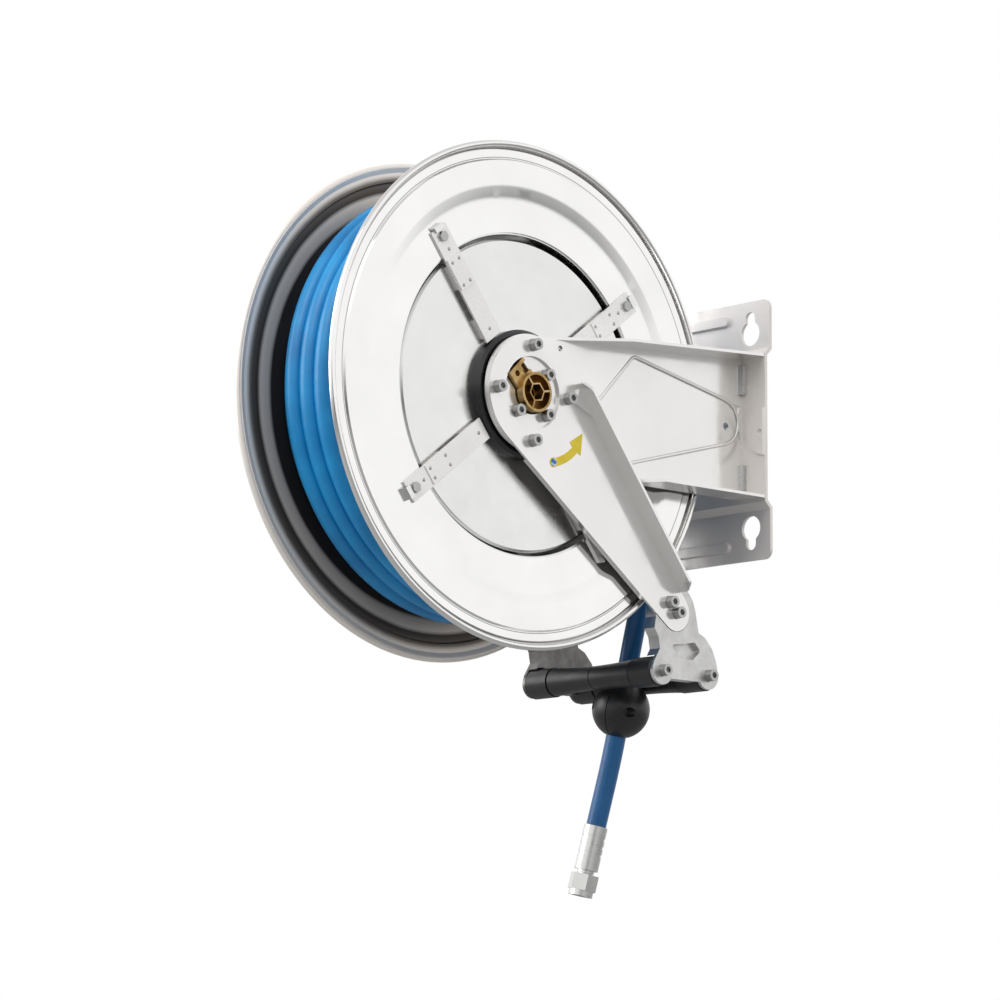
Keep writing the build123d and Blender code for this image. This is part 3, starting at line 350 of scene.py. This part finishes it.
def nurbs(name, points, material):
    """A round hose along one smooth spline."""
    data = bpy.data.curves.new(name, "CURVE")
    data.dimensions = "3D"
    data.resolution_u = 6
    data.bevel_depth = HOSE_R
    data.bevel_resolution = 6
    data.use_fill_caps = True
    spline = data.splines.new("NURBS")
    spline.points.add(len(points) - 1)
    for point, place in zip(spline.points, points):
        point.co = (*place, 1)
    spline.order_u = 3
    spline.use_endpoint_u = True
    data.materials.append(material)
    piece = bpy.data.objects.new(name, data)
    bpy.context.collection.objects.link(piece)
    return piece


def ease(t):
    """Smooth step from 0 to 1."""
    t = min(max(t, 0.0), 1.0)
    return t * t * (3 - 2 * t)


def winding_points():
    """Three layers of turns: across the drum, back on top, and part of the way again."""
    end_angle = math.atan2(HOSE_ROUTE[0][2], HOSE_ROUTE[0][1])
    grow = 1 / (0.5 + 0.5 * math.cos(math.pi / POINTS_PER_TURN))
    end_r = math.hypot(HOSE_ROUTE[0][1], HOSE_ROUTE[0][2]) / grow
    places = [(lane, LAYER_R[0]) for lane in range(LANES)]
    places += [(lane, LAYER_R[1]) for lane in range(LANES - 2, -1, -1)]
    places += [(lane, LAYER_R[2]) for lane in THIRD_LAYER_LANES]
    places.append((LANES - 1, end_r))
    turns = len(places) - 1
    points = []
    for i in range(turns * POINTS_PER_TURN + 1):
        turn = i / POINTS_PER_TURN
        number = min(int(turn), turns - 1)
        last = number == turns - 1
        length = LAST_CROSSOVER if last else CROSSOVER
        share = (turn - number - 1 + length) / length
        first_half, second_half = ease(2 * share), ease(2 * share - 1)
        across, climb = (first_half, second_half) if last else (second_half, first_half)
        if places[number][1] == places[number + 1][1]:
            across = ease(share)
        lane = places[number][0] + (places[number + 1][0] - places[number][0]) * across
        r = places[number][1] + (places[number + 1][1] - places[number][1]) * climb
        angle = end_angle + 2 * math.pi * (turns - turn)
        points.append((FIRST_LANE_X + lane * LANE_PITCH,
                       HUB_Y + r * grow * math.cos(angle), r * grow * math.sin(angle)))
    points[-1] = (HOSE_ROUTE[0][0], HUB_Y + HOSE_ROUTE[0][1], HOSE_ROUTE[0][2])
    return points


def make_hose():
    """The hose on the drum, and the length that hangs through the rollers."""
    wound = winding_points()
    winding = nurbs("hose_wound", wound, MATERIALS["hose_blue"])
    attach(winding, "drum")
    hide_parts("hose_winding")
    route = [(x, HUB_Y + y, z) for x, y, z in HOSE_ROUTE]
    # The hanging length takes the painted-shade copy of the hose blue.
    free = nurbs("hose_hanging", route, SHADED_HANGING_HOSE)
    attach(free, "frame")
    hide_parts("hose_free")


# ------------------------------------------------------------------ sheet-metal detail
def rounded_outline(corners, steps=8):
    """Closed outline with a round at each corner; a corner is (y, z, radius)."""
    points = []
    count = len(corners)
    for i, (y, z, radius) in enumerate(corners):
        here = Vector((y, z))
        to_last = (Vector(corners[i - 1][:2]) - here).normalized()
        to_next = (Vector(corners[(i + 1) % count][:2]) - here).normalized()
        half = to_last.angle(to_next) / 2
        reach = radius / math.tan(half)
        centre = here + (to_last + to_next).normalized() * (radius / math.sin(half))
        start = here + to_last * reach - centre
        end = here + to_next * reach - centre
        turn = start.angle_signed(end)
        for k in range(steps + 1):
            a = -turn * k / steps
            points.append(centre + Vector((start.x * math.cos(a) - start.y * math.sin(a),
                                           start.x * math.sin(a) + start.y * math.cos(a))))
    return points


def ridge(name, outline, x, side, width, height, material):
    """A low rounded ridge along a closed outline on a web, seen as a pressed edge."""
    profile = ((-0.5, -0.15), (-0.3, 0.55), (0.0, 1.0), (0.3, 0.55), (0.5, -0.15))
    count = len(outline)
    verts = []
    for i, point in enumerate(outline):
        along = (outline[(i + 1) % count] - outline[i - 1]).normalized()
        across = Vector((-along.y, along.x))
        for shift, lift in profile:
            place = point + across * shift * width
            verts.append((x + side * lift * height, HUB_Y + place.x, place.y))
    faces = []
    step = len(profile)
    for i in range(count):
        j = (i + 1) % count
        for k in range(step - 1):
            faces.append((i * step + k, j * step + k, j * step + k + 1, i * step + k + 1))
        faces.append((i * step + step - 1, j * step + step - 1, j * step, i * step))
    mesh = bpy.data.meshes.new(name)
    mesh.from_pydata(verts, [], faces)
    mesh.materials.append(material)
    for face in mesh.polygons:
        face.use_smooth = True
    piece = bpy.data.objects.new(name, mesh)
    bpy.context.collection.objects.link(piece)
    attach(piece, "frame")


WEB_X = {1: 0.0895, -1: -0.0675}          # outer face of each bracket's web
RIDGE_WIDTH, RIDGE_HEIGHT = 0.0032, 0.0007
PANEL_CORNERS = ((0.121, 0.048, 0.008), (0.3177, 0.0073, 0.020), (0.085, -0.054, 0.008),
                 (0.066, -0.0096, 0.008))


def make_panels():
    """The pressed edge round the panel of each bracket."""
    for side, name in ((1, "panel_edge_near"), (-1, "panel_edge_far")):
        ridge(name, rounded_outline(PANEL_CORNERS), WEB_X[side], side,
              RIDGE_WIDTH, RIDGE_HEIGHT, SHEET_METAL)


STRAP_ANGLES = (37.5, 127.5, 217.5, 307.5)
STRAP_FACE_X = 0.0817
PAD_FACE_DROP = 0.001                      # the strap's bare face lies below its doubler
WELD_PLACES = (                            # along the strap, across it, x of the face
    (0.108, 0.0045, STRAP_FACE_X), (0.108, -0.0045, STRAP_FACE_X),
    (0.129, 0.0045, STRAP_FACE_X), (0.129, -0.0045, STRAP_FACE_X),
    (0.064, 0.0, STRAP_FACE_X - PAD_FACE_DROP), (0.140, 0.0, STRAP_FACE_X - PAD_FACE_DROP),
)
WELD_DOME = ((-0.0002, 0.0016), (0.0001, 0.00155), (0.00035, 0.0011), (0.00045, 0.0003))


def lathe(name, profile, origin, axis, material, body, segments=24):
    """A small turned piece: profile of (along, radius) about an axis through origin."""
    axis = Vector(axis).normalized()
    side = axis.orthogonal().normalized()
    up = axis.cross(side)
    verts, faces = [], []
    for along, radius in profile:
        for k in range(segments):
            a = 2 * math.pi * k / segments
            verts.append(Vector(origin) + axis * along
                         + (side * math.cos(a) + up * math.sin(a)) * radius)
    rows = len(profile)
    for i in range(rows - 1):
        for k in range(segments):
            j = (k + 1) % segments
            faces.append((i * segments + k, i * segments + j,
                          (i + 1) * segments + j, (i + 1) * segments + k))
    faces.append(tuple(range(segments))[::-1])
    faces.append(tuple((rows - 1) * segments + k for k in range(segments)))
    mesh = bpy.data.meshes.new(name)
    mesh.from_pydata([tuple(v) for v in verts], [], faces)
    mesh.materials.append(material)
    for face in mesh.polygons[:-2]:
        face.use_smooth = True
    piece = bpy.data.objects.new(name, mesh)
    bpy.context.collection.objects.link(piece)
    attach(piece, body)


def make_spot_welds():
    """Pairs of small domed spot welds on each strap's doubler and near the hub."""
    for number, angle in enumerate(STRAP_ANGLES, 1):
        a = math.radians(angle)
        for place, (along, across, x) in enumerate(WELD_PLACES, 1):
            y = along * math.cos(a) - across * math.sin(a)
            z = along * math.sin(a) + across * math.cos(a)
            lathe(f"spot_weld_{number}_{place}", WELD_DOME, (x, HUB_Y + y, z), (1, 0, 0),
                  MATERIALS["fastener_steel"], "drum", 12)


def make_label_dot():
    """Round blue and white tail of the direction label."""
    n = Nodes("label_dot")
    n.link(n.ramp(n.noise(160, 2), ((0.46, (0.02, 0.16, 0.5)), (0.54, (0.75, 0.8, 0.85)))),
           n.shader.inputs["Base Color"])
    n.link(n.span(n.noise(200, 3), 0.28, 0.4), n.shader.inputs["Roughness"])
    lathe("label_dot", ((0.0, 0.0034), (0.00025, 0.0034), (0.0003, 0.0032)),
          (0.0924, HUB_Y + 0.0242, -0.056), (1, 0, 0), n.material, "frame", 32)


# ------------------------------------------------------------------ stage
FLOOR_Z, FLOOR_SIZE = -1.15, 14
LAMPS = (("key", (1.0, -3.4, 3.2)), ("fill", (-2.6, -3.0, 1.2)))
LAMP_ENERGY, LAMP_SIZE = 60, 2.4
# Grey level of the surroundings by height, as (place from straight down to straight up, grey).
TENT = ((0.0, 0.22), (0.30, 0.26), (0.44, 0.40), (0.53, 1.0), (0.70, 1.0), (0.84, 0.85),
        (1.0, 0.62))
# A darker patch of the surroundings, in the direction the main camera looks from, so that the
# metal shows dark reflections there. It is fixed to the room and doesn't follow the camera.
DARK_PATCH = (0.722, -0.673, -0.157)
DARK_PATCH_EDGE = (0.9, 0.985)
DARK_PATCH_STRENGTH = (1.05, 0.3)


def make_stage():
    """Pale floor well below the reel, darker in reflections than to the camera, and two lamps."""
    n = Nodes("floor_pale")
    n.link(n.ramp(n.noise(3, 2), ((0.3, (0.84, 0.84, 0.84)), (0.7, (0.88, 0.88, 0.88)))),
           n.shader.inputs["Base Color"])
    n.shader.inputs["Roughness"].default_value = 0.9
    dim = n.add("BsdfDiffuse")
    dim.inputs["Color"].default_value = (0.34, 0.34, 0.34, 1)
    seen = n.add("LightPath")
    mix = n.add("MixShader")
    n.link(seen.outputs["Is Camera Ray"], mix.inputs["Fac"])
    n.link(dim.outputs[0], mix.inputs[1])
    n.link(n.shader.outputs[0], mix.inputs[2])
    n.link(mix.outputs[0], n.tree.nodes["Material Output"].inputs["Surface"])
    mesh = bpy.data.meshes.new("floor")
    half = FLOOR_SIZE / 2
    mesh.from_pydata([(-half, -half, 0), (half, -half, 0), (half, half, 0), (-half, half, 0)],
                     [], [(0, 1, 2, 3)])
    mesh.materials.append(n.material)
    floor = bpy.data.objects.new("floor", mesh)
    floor.location = (0, 0, FLOOR_Z)
    bpy.context.collection.objects.link(floor)
    for name, place in LAMPS:
        data = bpy.data.lights.new(name, "AREA")
        data.energy = LAMP_ENERGY
        data.size = LAMP_SIZE
        lamp = bpy.data.objects.new(name, data)
        lamp.location = place
        aim = Vector((0, HUB_Y, -0.05)) - Vector(place)
        lamp.rotation_euler = aim.to_track_quat("-Z", "Y").to_euler()
        bpy.context.collection.objects.link(lamp)
    make_world()


def make_world():
    """White to the camera; the metal reflects soft bands of grey and one darker patch."""
    world = bpy.data.worlds.new("studio")
    bpy.context.scene.world = world
    world.use_nodes = True
    tree = world.node_tree
    tree.nodes.clear()
    out = tree.nodes.new("ShaderNodeOutputWorld")
    mix = tree.nodes.new("ShaderNodeMixShader")
    path = tree.nodes.new("ShaderNodeLightPath")
    white = tree.nodes.new("ShaderNodeBackground")
    white.inputs["Color"].default_value = (1, 1, 1, 1)
    white.inputs["Strength"].default_value = 1.0
    tent = tree.nodes.new("ShaderNodeBackground")
    coords = tree.nodes.new("ShaderNodeTexCoord")
    split = tree.nodes.new("ShaderNodeSeparateXYZ")
    ramp = tree.nodes.new("ShaderNodeValToRGB")
    while len(ramp.color_ramp.elements) < len(TENT):
        ramp.color_ramp.elements.new(0.5)
    for element, (place, grey) in zip(ramp.color_ramp.elements, TENT):
        element.position = place
        element.color = (grey, grey, grey, 1)
    shift = tree.nodes.new("ShaderNodeMapRange")
    shift.inputs["From Min"].default_value = -1
    shift.inputs["From Max"].default_value = 1
    links = tree.links
    links.new(coords.outputs["Generated"], split.inputs[0])
    links.new(split.outputs["Z"], shift.inputs["Value"])
    links.new(shift.outputs["Result"], ramp.inputs["Fac"])
    links.new(ramp.outputs["Color"], tent.inputs["Color"])
    gap = tree.nodes.new("ShaderNodeVectorMath")
    gap.operation = "DOT_PRODUCT"
    gap.inputs[1].default_value = DARK_PATCH
    links.new(coords.outputs["Generated"], gap.inputs[0])
    dim = tree.nodes.new("ShaderNodeMapRange")
    dim.interpolation_type = "SMOOTHSTEP"
    dim.inputs["From Min"].default_value, dim.inputs["From Max"].default_value = DARK_PATCH_EDGE
    dim.inputs["To Min"].default_value, dim.inputs["To Max"].default_value = DARK_PATCH_STRENGTH
    links.new(gap.outputs["Value"], dim.inputs["Value"])
    links.new(dim.outputs["Result"], tent.inputs["Strength"])
    links.new(path.outputs["Is Camera Ray"], mix.inputs["Fac"])
    links.new(tent.outputs[0], mix.inputs[1])
    links.new(white.outputs[0], mix.inputs[2])
    links.new(mix.outputs[0], out.inputs["Surface"])


set_camera()
make_hose()
paint_nodes()
make_panels()
make_spot_welds()
make_label_dot()
make_stage()
bpy.context.scene.view_settings.view_transform = "Standard"
